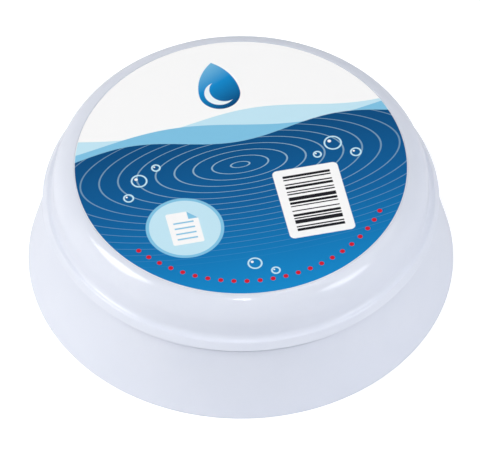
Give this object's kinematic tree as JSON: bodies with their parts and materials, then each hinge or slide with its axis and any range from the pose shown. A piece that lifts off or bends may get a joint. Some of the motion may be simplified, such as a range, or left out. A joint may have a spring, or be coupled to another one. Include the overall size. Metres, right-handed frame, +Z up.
{
  "type": "finger moistener",
  "caption": "Round white plastic tub of glycerine gel with a flared skirt and a press-on lid with a printed label, used on a desk to moisten fingertips.",
  "frame": {"origin": "on the table, at the centre of the foot ring", "axes": "+Z up along the axis of the tub, +Y towards the top of the label's print"},
  "size_m": [0.0846, 0.0846, 0.0271],
  "materials": {
    "base_plastic": "smooth moulded white plastic, cool tint",
    "lid_plastic": "smooth moulded white plastic, cool tint",
    "gel": "wet translucent gel",
    "liner_foam": "fine closed-cell foam",
    "label_print": "printed film, semi-gloss"
  },
  "bodies": {
    "tub": {"base": "base_plastic", "gel_puck": "gel"},
    "cover": {"lid": "lid_plastic", "lid_liner": "liner_foam", "label": "label_print"}
  },
  "joints": [
    {"name": "lid_lift", "type": "slide", "parent": "tub", "child": "cover", "axis": [0, 0, 1], "range_m": [0, 0.03]}
  ]
}
